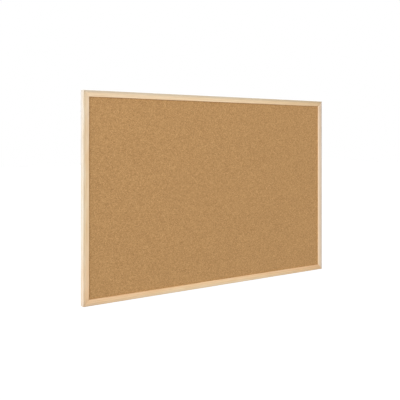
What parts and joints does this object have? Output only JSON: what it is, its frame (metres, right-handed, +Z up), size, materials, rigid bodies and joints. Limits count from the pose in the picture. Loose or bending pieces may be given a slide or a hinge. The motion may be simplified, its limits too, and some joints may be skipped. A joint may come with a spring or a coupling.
{
  "type": "cork board",
  "caption": "Landscape cork notice board in a mitred pine frame; steel points hold the panel in its rebate, and strap hangers and rubber bumpers sit behind.",
  "frame": {"origin": "on the wall plane, behind the middle of the board, where the bumpers' faces lie", "axes": "+X along the board's width to the right as seen from the front, +Y out of the back towards the wall, +Z up"},
  "size_m": [0.9, 0.0223, 0.6],
  "materials": {
    "pine": "clear matt lacquer over planed pine",
    "cork": "fine-grained sanded agglomerated cork",
    "softboard": "raw wood-fibre softboard",
    "backing_board": "brown kraft-faced board",
    "zinc_plated_steel": "bright zinc plate",
    "rubber": "matt black"
  },
  "bodies": {
    "board": {"backing_sheet": "backing_board", "bottom_rail": "pine", "cork_sheet": "cork", "left_bumper": "rubber", "left_hanger_screw": "zinc_plated_steel", "left_hanger_strap": "zinc_plated_steel", "left_stile": "pine", "retaining_point_bottom_1": "zinc_plated_steel", "retaining_point_bottom_2": "zinc_plated_steel", "retaining_point_bottom_3": "zinc_plated_steel", "retaining_point_bottom_4": "zinc_plated_steel", "retaining_point_bottom_5": "zinc_plated_steel", "retaining_point_left_1": "zinc_plated_steel", "retaining_point_left_2": "zinc_plated_steel", "retaining_point_left_3": "zinc_plated_steel", "retaining_point_right_1": "zinc_plated_steel", "retaining_point_right_2": "zinc_plated_steel", "retaining_point_right_3": "zinc_plated_steel", "retaining_point_top_1": "zinc_plated_steel", "retaining_point_top_2": "zinc_plated_steel", "retaining_point_top_3": "zinc_plated_steel", "retaining_point_top_4": "zinc_plated_steel", "retaining_point_top_5": "zinc_plated_steel", "right_bumper": "rubber", "right_hanger_screw": "zinc_plated_steel", "right_hanger_strap": "zinc_plated_steel", "right_stile": "pine", "softboard_core": "softboard", "top_rail": "pine", "wedge_nail_bottom_left_1": "zinc_plated_steel", "wedge_nail_bottom_left_2": "zinc_plated_steel", "wedge_nail_bottom_right_1": "zinc_plated_steel", "wedge_nail_bottom_right_2": "zinc_plated_steel", "wedge_nail_top_left_1": "zinc_plated_steel", "wedge_nail_top_left_2": "zinc_plated_steel", "wedge_nail_top_right_1": "zinc_plated_steel", "wedge_nail_top_right_2": "zinc_plated_steel"},
    "left_ring": {"left_hanger_ring": "zinc_plated_steel"},
    "right_ring": {"right_hanger_ring": "zinc_plated_steel"}
  },
  "joints": [
    {"name": "left_ring_swing", "type": "hinge", "parent": "board", "child": "left_ring", "pos_m": [-0.4435, -0.002, 0.24], "axis": [-1, 0, 0], "range_deg": [0, 175]},
    {"name": "right_ring_swing", "type": "hinge", "parent": "board", "child": "right_ring", "pos_m": [0.4435, -0.002, 0.24], "axis": [-1, 0, 0], "range_deg": [0, 175]}
  ]
}
